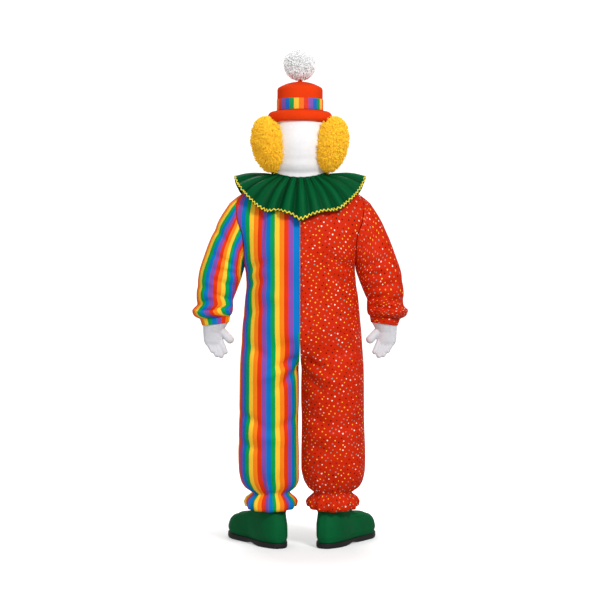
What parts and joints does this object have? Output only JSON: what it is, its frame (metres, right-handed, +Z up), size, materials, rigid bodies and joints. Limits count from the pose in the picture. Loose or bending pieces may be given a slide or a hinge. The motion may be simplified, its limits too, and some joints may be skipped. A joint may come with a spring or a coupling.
{
  "type": "clown mascot costume",
  "caption": "Two-colour clown mascot costume: striped and dotted suit, green ruffled collar, plush head with fur puffs and small pompom hat, white gloves, big green shoes.",
  "frame": {"origin": "centre of the neckline at its centre-back height, where the wearer's neck and shoulders hold the costume", "axes": "+Z up, +X to the wearer's left (the striped side), -Y to the front"},
  "size_m": [0.84, 0.4546, 1.9313],
  "materials": {
    "striped_cloth": "satin woven",
    "dotted_cloth": "satin woven",
    "green_satin": "satin",
    "yellow_braid": "matte",
    "white_plush": "plush",
    "yellow_fur": "fur",
    "orange_felt": "felt",
    "striped_ribbon": "satin",
    "white_yarn": "matte",
    "white_jersey": "matte knit",
    "green_suede": "suede",
    "black_rubber": "matte",
    "red_foam": "satin",
    "black_felt": "felt"
  },
  "bodies": {
    "root": {"back_left": "striped_cloth", "front_left": "striped_cloth", "sleeve_left": "striped_cloth", "cuff_left": "striped_cloth", "back_right": "dotted_cloth", "front_right": "dotted_cloth", "sleeve_right": "dotted_cloth", "cuff_right": "dotted_cloth", "neckband": "green_satin", "collar": "green_satin", "collar_trim": "yellow_braid", "head_left": "white_plush", "head_right": "white_plush", "hair_left": "yellow_fur", "hair_right": "yellow_fur", "hat_crown": "orange_felt", "hat_brim": "orange_felt", "hat_stalk": "orange_felt", "hat_band": "striped_ribbon", "pompom": "white_yarn", "glove_left": "white_jersey", "glove_right": "white_jersey", "shoe_left": "green_suede", "shoe_right": "green_suede", "sole_left": "black_rubber", "sole_right": "black_rubber", "nose": "red_foam", "mouth": "red_foam", "eye_left": "black_felt", "eye_right": "black_felt"}
  },
  "joints": []
}
